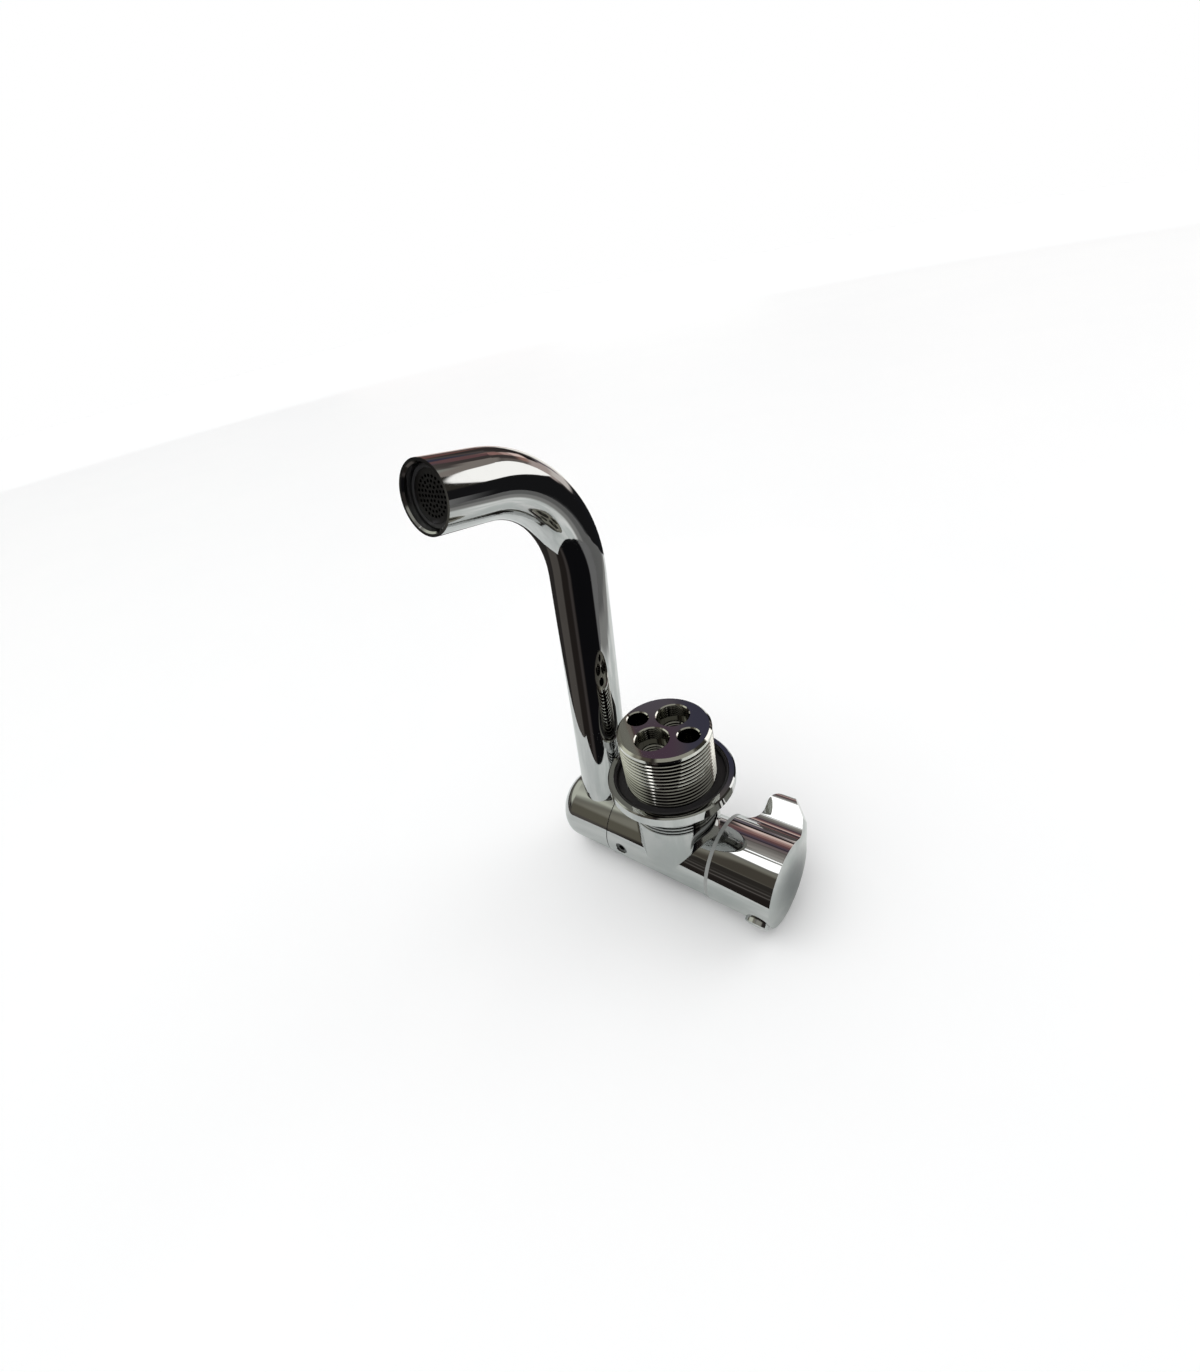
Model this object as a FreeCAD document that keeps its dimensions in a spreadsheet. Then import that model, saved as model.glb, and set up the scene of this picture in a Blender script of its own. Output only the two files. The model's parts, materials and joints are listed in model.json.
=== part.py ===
import FreeCAD, Part
import os
import re
import sys

# Basin mixer tap with a fold-over spout. Millimetres.
# The frame is the one of the tap lying upside down, with its shank up: +Z runs along the threaded
# shank, away from the barrel, +X along the barrel towards the handle, and the bent spout's mouth
# faces -Y. The origin is the centre of the flange's sealing face, on the shank's axis.

Vector = FreeCAD.Vector
Rotation = FreeCAD.Rotation
Placement = FreeCAD.Placement

VALUES = {
    # threaded shank, M32 x 1.5, that passes through the basin's 33 mm hole
    "shank_radius": 16.0,
    "shank_height": 20.0,
    "shank_chamfer": 0.8,
    "shank_relief": 0.25,
    "thread_pitch": 1.5,
    "thread_depth": 0.92,
    "thread_crest": 0.11,
    "thread_turns_below": 11,
    "thread_grooves": 23,
    # barrel and neck
    "barrel_drop": 37.8,
    "barrel_radius": 14.85,
    "barrel_left": 25.15,
    "barrel_right": 17.9,
    "nose_radius": 13.0,
    "nose_end": 20.5,
    "neck_radius": 15.7,
    "neck_flat": 14.6,
    # water ways: two supply ports in the shank's end, two blind holes beside them
    "port_radius": 5.6,
    "port_depth": 6.0,
    "port_spacing": 6.6,
    "port_shift": 0.4,
    "port_thread_radius": 4.5,
    "port_thread_end": 2.0,
    "supply_radius": 2.75,
    "blind_radius": 3.6,
    "blind_spacing": 10.0,
    "blind_depth": 14.0,
    "hole_chamfer": 0.35,
    "inlet_radius": 2.0,
    "cross_radius": 1.8,
    "inlet_y": 1.2,
    "inlet_z": 5.8,
    "outlet_radius": 2.4,
    "outlet_y": 4.6,
    # cartridge chamber
    "chamber_floor": 3.0,
    "cartridge_radius": 11.5,
    "nut_radius": 12.0,
    "nut_thread_start": 14.0,
    "fit": 0.05,
    # flange ring and its seal
    "flange_gap": 0.06,
    "seal_gap": 0.1,
    "flange_radius": 22.4,
    "flange_rim": 4.2,
    "flange_boss_radius": 17.5,
    "flange_boss_end": 9.2,
    "rim_width": 2.4,
    "recess_depth": 3.0,
    "seal_base": 1.0,
    "seal_lip_width": 0.9,
    # spout hub and its spigot
    "hub_radius": 14.7,
    "hub_gap": 0.45,
    "hub_round_start": 43.6,
    "hub_round_length": 9.8,
    "collar_radius": 9.2,
    "collar_height": 14.9,
    "spigot_radius": 10.0,
    "spigot_end": 8.6,
    "spigot_bore_end": 8.0,
    "hub_bore_radius": 7.0,
    "hub_bore_end": 40.0,
    "nipple_radius": 7.85,
    "nipple_bore_radius": 6.3,
    "nipple_height": 26.0,
    "slide_ring_radius": 12.25,
    "slide_ring_depth": 1.0,
    "slide_ring_proud": 0.35,
    "slide_ring_clearance": 0.07,
    # screw that keeps the spigot in the body
    "retainer_x": 18.8,
    "retainer_radius": 2.45,
    "retainer_sunk": 0.6,
    "retainer_shoulder": 10.15,
    "retainer_tip_radius": 1.2,
    "retainer_tip_end": 9.0,
    "retainer_groove_half": 1.5,
    "groove_root_radius": 8.6,
    "retainer_key_radius": 1.44,
    "retainer_key_depth": 1.8,
    # water seals on the spigot
    "oring_section": 0.68,
    "oring_groove_half": 1.0,
    "oring_one_x": 14.2,
    "oring_two_x": 11.0,
    # spout tube
    "tube_x": 34.95,
    "tube_radius": 9.6,
    "tube_bore_radius": 7.9,
    "spout_tilt": 7.1,
    "tube_straight": 103.7,
    "bend_radius": 36.9,
    "bend_angle": 86.0,
    "outlet_run": 18.1,
    "tube_gap": 0.05,
    "mouth_radius": 8.3,
    "mouth_depth": 12.0,
    # aerator
    "aerator_sunk": 2.5,
    "aerator_seal_height": 1.0,
    "aerator_bore_radius": 6.4,
    "aerator_lip_radius": 6.9,
    "screen_height": 0.6,
    "screen_hole_radius": 0.42,
    "screen_hole_pitch": 1.25,
    # cartridge, stacked from the chamber's floor
    "gasket_height": 0.8,
    "gasket_radius": 8.9,
    "base_height": 2.5,
    "housing_bore_radius": 10.0,
    "lid_height": 2.0,
    "housing_end": 18.0,
    "fixed_disc_radius": 9.6,
    "fixed_disc_height": 2.8,
    "moving_disc_radius": 7.6,
    "moving_disc_height": 2.5,
    "disc_gap": 0.04,
    "carrier_height": 1.9,
    "carrier_floor": 0.2,
    "carrier_slot_half": 2.35,
    "rotor_gap": 0.1,
    "rotor_flange_end": 15.9,
    "rotor_neck_radius": 7.03,
    "lid_bore_radius": 7.1,
    "rotor_end": 20.2,
    "rotor_slot_half": 3.6,
    "rotor_slot_reach": 5.0,
    "pivot_x": 19.0,
    "pin_radius": 1.25,
    "pin_reach": 6.6,
    "spindle_half": 3.5,
    "spindle_tip_half": 2.0,
    "spindle_tip_start": 12.5,
    "spindle_start": 14.5,
    "spindle_end": 39.6,
    "nut_shoulder": 21.0,
    "nut_end": 23.3,
    "nut_bore_radius": 7.6,
    "nut_hex_flats": 20.0,
    # handle: its skirt is off the barrel's axis towards the lever, so that it can tip over the body
    "lever_angle": 30.0,
    "handle_offset": 1.0,
    "handle_radius": 16.25,
    "skirt_ring_radius": 16.2,
    "skirt_radius": 15.0,
    "ring_start": 18.1,
    "ring_height": 1.3,
    "handle_gap": 0.05,
    "handle_end": 42.3,
    "dome_height": 2.0,
    "skirt_end": 24.0,
    "hollow_radius": 13.4,
    "hollow_end": 33.0,
    "boss_radius": 7.0,
    "boss_start": 26.0,
    "lever_half": 4.0,
    "lever_start": 26.7,
    "lever_reach": 28.7,
    "lever_fillet": 5.5,
    "lever_corner": 4.6,
    "lever_round": 3.0,
    "slant_x": 42.5,
    "slant_reach": 20.0,
    "slant_angle": 40.4,
    # set screw in the handle and the button over it
    "plug_x": 37.2,
    "plug_radius": 4.25,
    "plug_bottom": 12.0,
    "plug_side": 17.3,
    "plug_top": 18.1,
    "screw_radius": 2.0,
    "screw_outer": 9.0,
    "screw_key_radius": 1.15,
    "screw_key_depth": 2.0,
}

doc = FreeCAD.newDocument("BasinTap")
sheet = doc.addObject("Spreadsheet::Sheet", "Dims")
for row, (alias, number) in enumerate(VALUES.items(), start=1):
    sheet.set(f"A{row}", alias)
    sheet.set(f"B{row}", str(number))
    sheet.setAlias(f"B{row}", alias)
doc.recompute()

SUBPARTS = []


def ex(text):
    """Writes a formula over the sheet's names."""
    def name(match):
        word = match.group(0)
        return "Dims." + word if word in VALUES else word
    return re.sub(r"[a-z][a-z_]+", name, text)


def value(text):
    """The number that a formula over the sheet's names gives now."""
    result = sheet.evalExpression(ex(text))
    return float(getattr(result, "Value", result))


def bind(item, **formulas):
    for prop, text in formulas.items():
        item.setExpression(prop, ex(str(text)))


def put(item, at, turn=None):
    """Puts a primitive at a point given by three formulas, with a fixed turn."""
    item.Placement = Placement(Vector(*[value(str(c)) for c in at]), turn or Rotation())
    for axis, text in zip("xyz", at):
        item.setExpression(f"Placement.Base.{axis}", ex(str(text)))
    return item


ALONG_X = Rotation(Vector(0, 1, 0), 90)
ALONG_Y = Rotation(Vector(1, 0, 0), -90)
ALONG_MINUS_Y = Rotation(Vector(1, 0, 0), 90)


def cylinder(name, radius, height, at, turn=None):
    item = doc.addObject("Part::Cylinder", name)
    bind(item, Radius=radius, Height=height)
    return put(item, at, turn)


def box(name, size, at, turn=None):
    item = doc.addObject("Part::Box", name)
    bind(item, Length=size[0], Width=size[1], Height=size[2])
    return put(item, at, turn)


def prism(name, circumradius, height, at, turn=None):
    item = doc.addObject("Part::Prism", name)
    item.Polygon = 6
    bind(item, Circumradius=circumradius, Height=height)
    return put(item, at, turn)


def cone(name, low, high, height, at, turn=None):
    item = doc.addObject("Part::Cone", name)
    bind(item, Radius1=low, Radius2=high, Height=height)
    return put(item, at, turn)


def fuse(name, items):
    item = doc.addObject("Part::MultiFuse", name)
    item.Shapes = items
    return item


def cut(name, base, tools):
    tool = tools[0] if len(tools) == 1 else fuse(name + "_tools", tools)
    item = doc.addObject("Part::Cut", name)
    item.Base = base
    item.Tool = tool
    return item


def common(name, first, second):
    item = doc.addObject("Part::Common", name)
    item.Base = first
    item.Tool = second
    return item


def origin(body, role):
    return next(f for f in body.Origin.OriginFeatures if f.Role == role)


def sketch_on(body, name, role):
    sketch = body.newObject("Sketcher::SketchObject", name)
    sketch.AttachmentSupport = (origin(body, role), "")
    sketch.MapMode = "FlatFace"
    return sketch


def outline(sketch, points):
    """Draws a closed outline through points given by pairs of formulas."""
    import Sketcher
    numbers = [Vector(value(str(a)), value(str(b)), 0) for a, b in points]
    count = len(points)
    first = sketch.GeometryCount
    for i in range(count):
        sketch.addGeometry(Part.LineSegment(numbers[i], numbers[(i + 1) % count]))
    for i in range(count):
        following = first + (i + 1) % count
        sketch.addConstraint(Sketcher.Constraint("Coincident", first + i, 2, following, 1))
    for i, (across, along) in enumerate(points):
        for kind, text, number in (("DistanceX", across, numbers[i].x), ("DistanceY", along, numbers[i].y)):
            index = sketch.addConstraint(Sketcher.Constraint(kind, -1, 1, first + i, 1, number))
            sketch.setExpression(f"Constraints[{index}]", ex(str(text)))


def circle(sketch, across, along, radius):
    """Draws a circle at a point given by two formulas."""
    import Sketcher
    centre = Vector(value(str(across)), value(str(along)), 0)
    item = sketch.addGeometry(Part.Circle(centre, Vector(0, 0, 1), value(radius)))
    for kind, text, number in (("DistanceX", across, centre.x), ("DistanceY", along, centre.y)):
        index = sketch.addConstraint(Sketcher.Constraint(kind, -1, 1, item, 3, number))
        sketch.setExpression(f"Constraints[{index}]", ex(str(text)))
    index = sketch.addConstraint(Sketcher.Constraint("Radius", item, value(radius)))
    sketch.setExpression(f"Constraints[{index}]", ex(radius))


def turned(name, points):
    """A turned piece: an outline of radius and height, turned about its own Z axis."""
    body = doc.addObject("PartDesign::Body", name)
    sketch = sketch_on(body, name + "_profile", "XZ_Plane")
    outline(sketch, points)
    feature = body.newObject("PartDesign::Revolution", name + "_turned")
    feature.Profile = sketch
    feature.ReferenceAxis = (sketch, ["V_Axis"])
    feature.Angle = 360
    sketch.Visibility = False
    doc.recompute()
    return body


def finish(item, label, place=None):
    """Registers an item as one piece of the tap."""
    item.Label = label
    if place is not None:
        item.Placement = place
    SUBPARTS.append(item)


# Frames of the pieces: the barrel's centre, the tilted spout and the handle's lever.
BARREL = Placement(Vector(0, 0, -value("barrel_drop")), Rotation())
TURNED_BARREL = BARREL.multiply(Placement(Vector(), ALONG_X))
SPOUT = BARREL.multiply(Placement(Vector(), Rotation(Vector(1, 0, 0), -value("spout_tilt"))))
LEVER = BARREL.multiply(Placement(Vector(), Rotation(Vector(1, 0, 0), value("lever_angle"))))


def mouth_frame():
    """The frame of the spout's mouth, its Z axis pointing out along the last run."""
    angle = value("bend_angle")
    radius = value("bend_radius")
    sine, cosine = value(f"sin({angle})"), value(f"cos({angle})")
    along_y = -radius * (1 - cosine) - value("outlet_run") * sine
    along_z = value("tube_straight") + radius * sine + value("outlet_run") * cosine
    point = Vector(-value("tube_x"), along_y, along_z)
    return SPOUT.multiply(Placement(point, Rotation(Vector(1, 0, 0), angle)))


MOUTH = mouth_frame()


# How far the thread runs below the sealing face; a crest of the full radius begins at that face.
THREAD_BELOW = "(thread_turns_below * thread_pitch - thread_crest)"


# Body: barrel along X, neck and threaded shank along Z, all one piece of brass. Below the sealing
# face the thread's crests are turned down a little, and the flange ring is screwed on there.
def make_shank():
    low = f"-{THREAD_BELOW}"
    body = doc.addObject("PartDesign::Body", "Shank")
    sketch = sketch_on(body, "Shank_profile", "XZ_Plane")
    outline(sketch, [
        ("0", "-barrel_drop / 2"),
        ("shank_radius - shank_relief", "-barrel_drop / 2"),
        ("shank_radius - shank_relief", "0"),
        ("shank_radius", "0"),
        ("shank_radius", "shank_height - shank_chamfer"),
        ("shank_radius - shank_chamfer", "shank_height"),
        ("0", "shank_height")])
    solid = body.newObject("PartDesign::Revolution", "Shank_solid")
    solid.Profile = sketch
    solid.ReferenceAxis = (sketch, ["V_Axis"])
    solid.Angle = 360
    doc.recompute()
    full = body.Shape.Volume
    groove_sketch = sketch_on(body, "Thread_profile", "XZ_Plane")
    outline(groove_sketch, [
        ("shank_radius + 0.2", low),
        ("shank_radius - thread_depth", low + " + thread_pitch * 0.42"),
        ("shank_radius - thread_depth", low + " + thread_pitch * 0.58"),
        ("shank_radius + 0.2", low + " + thread_pitch")])
    groove = body.newObject("PartDesign::Groove", "Thread_groove")
    groove.Profile = groove_sketch
    groove.ReferenceAxis = (groove_sketch, ["V_Axis"])
    groove.Angle = 360
    doc.recompute()
    one = body.Shape.Volume
    row = body.newObject("PartDesign::LinearPattern", "Thread_row")
    row.Originals = [groove]
    row.Direction = (origin(body, "Z_Axis"), [""])
    bind(row, Length="thread_pitch * (thread_grooves - 1)", Occurrences="thread_grooves")
    body.Tip = row
    doc.recompute()
    print("shank", round(full), "one groove", round(one), "all grooves", round(body.Shape.Volume))
    return body


def make_body():
    shank = make_shank()
    neck_round = cylinder("Neck_round", "neck_radius", f"barrel_drop - {THREAD_BELOW} + 0.5",
                          ("0", "0", "-barrel_drop"))
    neck_flats = box("Neck_flats", ("4 * neck_radius", "2 * neck_flat", "barrel_drop"),
                     ("-2 * neck_radius", "-neck_flat", "-barrel_drop"))
    neck = common("Neck", neck_round, neck_flats)
    barrel = cylinder("Barrel", "barrel_radius", "barrel_left + barrel_right",
                      ("-barrel_left", "0", "-barrel_drop"), ALONG_X)
    nose = cylinder("Nose", "nose_radius", "barrel_left + nose_end",
                    ("-barrel_left", "0", "-barrel_drop"), ALONG_X)
    solid = fuse("Body_solid", [shank, neck, barrel, nose])
    tools = []

    def way(name, radius, height, at, turn=None):
        tools.append(cylinder(name, radius, height, at, turn))

    deep = "-barrel_drop"
    way("Spigot_bore", "spigot_radius + fit", "barrel_left - spigot_bore_end + 1",
        ("-barrel_left - 1", "0", deep), ALONG_X)
    way("Slide_ring_seat", "slide_ring_radius + fit", "slide_ring_depth + 1",
        ("-barrel_left - 1", "0", deep), ALONG_X)
    way("Chamber", "cartridge_radius + fit", "nose_end - chamber_floor + 1",
        ("chamber_floor", "0", deep), ALONG_X)
    way("Nut_thread", "nut_radius + fit", "nose_end - nut_thread_start + 1",
        ("nut_thread_start", "0", deep), ALONG_X)
    way("Outlet_way", "outlet_radius", "spigot_bore_end + chamber_floor + 2",
        ("-spigot_bore_end - 1", "outlet_y", deep), ALONG_X)
    for sign, end in ((1, "-barrel_drop + inlet_z"), (-1, "-barrel_drop - inlet_z")):
        side = "Far" if sign > 0 else "Near"
        y = f"{sign} * port_spacing"
        way(f"{side}_port", "port_radius", "port_depth + 1", ("-port_shift", y, "shank_height - port_depth"))
        way(f"{side}_port_thread", "port_thread_radius", "shank_height - port_thread_end",
            ("-port_shift", y, "port_thread_end"))
        way(f"{side}_supply", "supply_radius", f"shank_height - ({end}) + inlet_radius",
            ("-port_shift", y, f"{end} - inlet_radius"))
        start = "-inlet_y" if sign > 0 else "-port_spacing"
        length = "port_spacing + inlet_y" if sign > 0 else "port_spacing - inlet_y"
        way(f"{side}_cross", "cross_radius", length, ("-port_shift", start, end), ALONG_Y)
        way(f"{side}_inlet", "inlet_radius", "chamber_floor + port_shift + 1",
            ("-port_shift", "-inlet_y", end), ALONG_X)
        x = f"-port_shift + {sign} * blind_spacing"
        way(f"{side}_blind", "blind_radius", "blind_depth + 1", (x, "0", "shank_height - blind_depth"))
        for name, radius, across, along in (("blind", "blind_radius", x, "0"),
                                            ("port", "port_radius", "-port_shift", y)):
            tools.append(cone(f"{side}_{name}_chamfer", radius, f"{radius} + 2 * hole_chamfer",
                              "2 * hole_chamfer", (across, along, "shank_height - hole_chamfer")))
    way("Retainer_hole", "retainer_radius + fit", "barrel_radius", ("-retainer_x", "-4", deep), ALONG_MINUS_Y)
    tools.append(cone("Retainer_chamfer", "retainer_radius", "retainer_radius + 2 * hole_chamfer",
                      "2 * hole_chamfer", ("-retainer_x", "-barrel_radius + hole_chamfer", deep), ALONG_MINUS_Y))
    body = cut("Body_cut", solid, tools)
    finish(body, "body")


def make_flange():
    recess = "(flange_radius - rim_width)"
    core = "shank_radius - shank_relief"
    ring = turned("Flange", [
        (core + " + flange_gap", "-flange_boss_end"),
        ("flange_boss_radius", "-flange_boss_end"),
        ("flange_boss_radius", "-flange_rim"),
        ("flange_radius - 0.4", "-flange_rim"),
        ("flange_radius", "-flange_rim + 0.4"),
        ("flange_radius", "-0.5"),
        ("flange_radius - 0.5", "0"),
        (recess + " + 0.3", "0"),
        (recess, "-0.3"),
        (recess, "-recess_depth"),
        (core + " + flange_gap", "-recess_depth")])
    finish(ring, "escutcheon")
    seal = turned("Flange_seal", [
        (core + " + seal_gap", "-recess_depth"),
        (recess + " - fit", "-recess_depth"),
        (recess + " - fit", "-0.4"),
        (recess + " - 0.4", "0"),
        (recess + " - seal_lip_width", "-0.5"),
        (recess + " - seal_lip_width - 0.2", "-recess_depth + seal_base"),
        (core + " + seal_gap", "-recess_depth + seal_base")])
    finish(seal, "escutcheon_seal")


# Spout: the hub turns on its spigot in the body; the tube stands on the hub's nipple.
def make_hub():
    face = "-barrel_left - hub_gap"
    round_part = cylinder("Hub_round", "hub_radius", "hub_round_start - barrel_left - hub_gap",
                          ("-hub_round_start", "0", "0"), ALONG_X)
    end = doc.addObject("Part::Ellipsoid", "Hub_end")
    bind(end, Radius1="hub_round_length", Radius2="hub_radius", Radius3="hub_radius")
    end.Angle1 = -90
    end.Angle2 = 90
    put(end, ("-hub_round_start", "0", "0"), ALONG_X)
    spigot = cylinder("Spigot", "spigot_radius", "barrel_left + hub_gap + 2 - spigot_end",
                      (face + " - 2", "0", "0"), ALONG_X)
    collar = cylinder("Collar", "collar_radius", "collar_height", ("-tube_x", "0", "0"))
    nipple = cylinder("Nipple", "nipple_radius", "nipple_height", ("-tube_x", "0", "0"))
    solid = fuse("Hub_solid", [round_part, end, spigot, collar, nipple])
    tools = [
        cylinder("Hub_bore", "hub_bore_radius", "hub_bore_end - spigot_end + 1",
                 ("-hub_bore_end", "0", "0"), ALONG_X),
        cylinder("Nipple_bore", "nipple_bore_radius", "nipple_height + 1", ("-tube_x", "0", "0"))]
    grooves = (("Retainer_groove", "retainer_x", "retainer_groove_half"),
               ("First_groove", "oring_one_x", "oring_groove_half"),
               ("Second_groove", "oring_two_x", "oring_groove_half"))
    for name, where, half in grooves:
        start = f"-{where} - {half}"
        outer = cylinder(name + "_outer", "spigot_radius + 1", f"2 * {half}", (start, "0", "0"), ALONG_X)
        inner = cylinder(name + "_inner", "groove_root_radius", f"2 * {half} + 1",
                         (start + " - 0.5", "0", "0"), ALONG_X)
        tools.append(cut(name, outer, [inner]))
    finish(cut("Hub", solid, tools), "spout_hub", SPOUT)
    for label, where in (("spout_oring_outer", "oring_one_x"), ("spout_oring_inner", "oring_two_x")):
        ring = doc.addObject("Part::Torus", label)
        bind(ring, Radius1="groove_root_radius + oring_section + 0.02", Radius2="oring_section")
        ring.Placement = SPOUT.multiply(Placement(Vector(-value(where), 0, 0), ALONG_X))
        finish(ring, label)
    slide = turned("Slide_ring", [
        ("spigot_radius + slide_ring_clearance", "-barrel_left - slide_ring_proud"),
        ("slide_ring_radius", "-barrel_left - slide_ring_proud"),
        ("slide_ring_radius", "-barrel_left + slide_ring_depth"),
        ("spigot_radius + slide_ring_clearance", "-barrel_left + slide_ring_depth")])
    finish(slide, "spout_slide_ring", TURNED_BARREL)


def make_retainer():
    length = "barrel_radius - retainer_sunk - retainer_shoulder"
    shaft = cylinder("Retainer_shaft", "retainer_radius", length,
                     ("-retainer_x", "-retainer_shoulder", "0"), ALONG_MINUS_Y)
    tip = cylinder("Retainer_tip", "retainer_tip_radius", "retainer_shoulder - retainer_tip_end + 0.5",
                   ("-retainer_x", "-retainer_tip_end", "0"), ALONG_MINUS_Y)
    key = prism("Retainer_key", "retainer_key_radius", "retainer_key_depth + 1",
                ("-retainer_x", "-barrel_radius + retainer_sunk + retainer_key_depth", "0"), ALONG_MINUS_Y)
    screw = cut("Retainer", fuse("Retainer_solid", [shaft, tip]), [key])
    finish(screw, "spout_retaining_screw", BARREL)


def make_tube():
    import Sketcher
    body = doc.addObject("PartDesign::Body", "Tube")
    path = sketch_on(body, "Tube_path", "YZ_Plane")
    angle = value("bend_angle")
    bend = value("bend_radius")
    straight = value("tube_straight")
    run = value("outlet_run")
    sine, cosine = value(f"sin({angle})"), value(f"cos({angle})")
    centre = Vector(-bend, straight, 0)
    corner = Vector(-bend + bend * cosine, straight + bend * sine, 0)
    mouth = corner + Vector(-sine * run, cosine * run, 0)
    path.addGeometry(Part.LineSegment(Vector(0, 0, 0), Vector(0, straight, 0)))
    arc = Part.ArcOfCircle(Part.Circle(centre, Vector(0, 0, 1), bend), 0, angle * 3.141592653589793 / 180)
    path.addGeometry(arc)
    path.addGeometry(Part.LineSegment(corner, mouth))
    for rule in (("Coincident", 0, 1, -1, 1), ("Vertical", 0), ("Tangent", 0, 2, 1, 1),
                 ("Tangent", 1, 2, 2, 1)):
        path.addConstraint(Sketcher.Constraint(*rule))
    lengths = ((("Distance", 0, straight), "tube_straight"),
               (("Radius", 1, bend), "bend_radius"),
               (("Distance", 2, run), "outlet_run"),
               (("DistanceX", 1, 2, -1, 1, -corner.x), "bend_radius * (1 - cos(bend_angle))"))
    for rule, text in lengths:
        index = path.addConstraint(Sketcher.Constraint(*rule))
        path.setExpression(f"Constraints[{index}]", ex(text))
    doc.recompute()
    for name, radius, kind in (("Tube_outside", "tube_radius", "PartDesign::AdditivePipe"),
                               ("Tube_bore", "tube_bore_radius", "PartDesign::SubtractivePipe")):
        profile = sketch_on(body, name + "_circle", "XY_Plane")
        circle(profile, "0", "0", radius)
        pipe = body.newObject(kind, name)
        pipe.Profile = profile
        pipe.Spine = path
        doc.recompute()
        print(name, round(body.Shape.Volume))
    foot = cylinder("Tube_foot", "tube_radius + 1", "collar_height + tube_gap + 1", ("0", "0", "-1"))
    mouth_at = MOUTH_IN_TUBE
    seat = cylinder("Mouth_seat", "mouth_radius", "mouth_depth + 1", ("0", "0", "0"))
    seat.Placement = mouth_at.multiply(Placement(Vector(0, 0, -value("mouth_depth")), Rotation()))
    for axis in "xyz":
        seat.setExpression(f"Placement.Base.{axis}", None)
    bevel = cone("Mouth_bevel", "mouth_radius", "mouth_radius + 1.2", "1.2", ("0", "0", "0"))
    bevel.Placement = mouth_at.multiply(Placement(Vector(0, 0, -0.5), Rotation()))
    for axis in "xyz":
        bevel.setExpression(f"Placement.Base.{axis}", None)
    tube = cut("Spout_tube", body, [foot, seat, bevel])
    finish(tube, "spout_tube", SPOUT.multiply(Placement(Vector(-value("tube_x"), 0, 0), Rotation())))


def make_aerator():
    ledge = "-aerator_sunk - screen_height - 0.1"
    foot = "-mouth_depth + aerator_seal_height"
    housing = turned("Aerator", [
        ("aerator_bore_radius", foot),
        ("mouth_radius - fit", foot),
        ("mouth_radius - fit", "-aerator_sunk - 0.4"),
        ("mouth_radius - fit - 0.4", "-aerator_sunk"),
        ("aerator_lip_radius", "-aerator_sunk"),
        ("aerator_lip_radius", ledge),
        ("aerator_bore_radius", ledge)])
    finish(housing, "aerator_housing", MOUTH)
    seal = turned("Aerator_seal", [
        ("aerator_bore_radius + 0.2", "-mouth_depth"),
        ("mouth_radius - fit", "-mouth_depth"),
        ("mouth_radius - fit", foot),
        ("aerator_bore_radius + 0.2", foot)])
    finish(seal, "aerator_seal", MOUTH)
    body = doc.addObject("PartDesign::Body", "Screen")
    disc = sketch_on(body, "Screen_circle", "XY_Plane")
    circle(disc, "0", "0", "aerator_lip_radius - fit")
    pad = body.newObject("PartDesign::Pad", "Screen_disc")
    pad.Profile = disc
    bind(pad, Length="screen_height")
    doc.recompute()
    volumes = [body.Shape.Volume]
    for ring in range(0, 5):
        holes = sketch_on(body, f"Holes_{ring}", "XY_Plane")
        circle(holes, f"{ring} * screen_hole_pitch", "0", "screen_hole_radius")
        pocket = body.newObject("PartDesign::Pocket", f"Hole_{ring}")
        pocket.Profile = holes
        pocket.Type = "ThroughAll"
        pocket.Midplane = True
        doc.recompute()
        if ring:
            pattern = body.newObject("PartDesign::PolarPattern", f"Hole_ring_{ring}")
            pattern.Originals = [pocket]
            pattern.Axis = (origin(body, "Z_Axis"), [""])
            pattern.Angle = 360
            pattern.Occurrences = 6 * ring
            body.Tip = pattern
            doc.recompute()
        volumes.append(body.Shape.Volume)
    print("screen", [round(v, 2) for v in volumes])
    place = MOUTH.multiply(Placement(Vector(0, 0, value(ledge)), Rotation()))
    finish(body, "aerator_screen", place)


# Cartridge: gasket, base, fixed and moving ceramic discs, carrier, rotor with pinned spindle, nut.
BASE_START = "(chamber_floor + gasket_height)"
BASE_END = "(chamber_floor + gasket_height + base_height)"
FIXED_END = "(chamber_floor + gasket_height + base_height + fixed_disc_height)"
MOVING_START = "(chamber_floor + gasket_height + base_height + fixed_disc_height + disc_gap)"
MOVING_END = MOVING_START[:-1] + " + moving_disc_height)"
CARRIER_END = MOVING_END[:-1] + " + carrier_height)"


def holed_disc(name, label, radius, start, height):
    """A round plate of the cartridge with its two inlets and its outlet."""
    plate = cylinder(name + "_plate", radius, height, (start, "0", "0"), ALONG_X)
    tools = [
        cylinder(name + "_hot", "inlet_radius", f"{height} + 2",
                 (f"{start} - 1", "-inlet_y", "inlet_z"), ALONG_X),
        cylinder(name + "_cold", "inlet_radius", f"{height} + 2",
                 (f"{start} - 1", "-inlet_y", "-inlet_z"), ALONG_X),
        cylinder(name + "_out", "outlet_radius", f"{height} + 2",
                 (f"{start} - 1", "outlet_y", "0"), ALONG_X)]
    finish(cut(name, plate, tools), label, BARREL)


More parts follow.
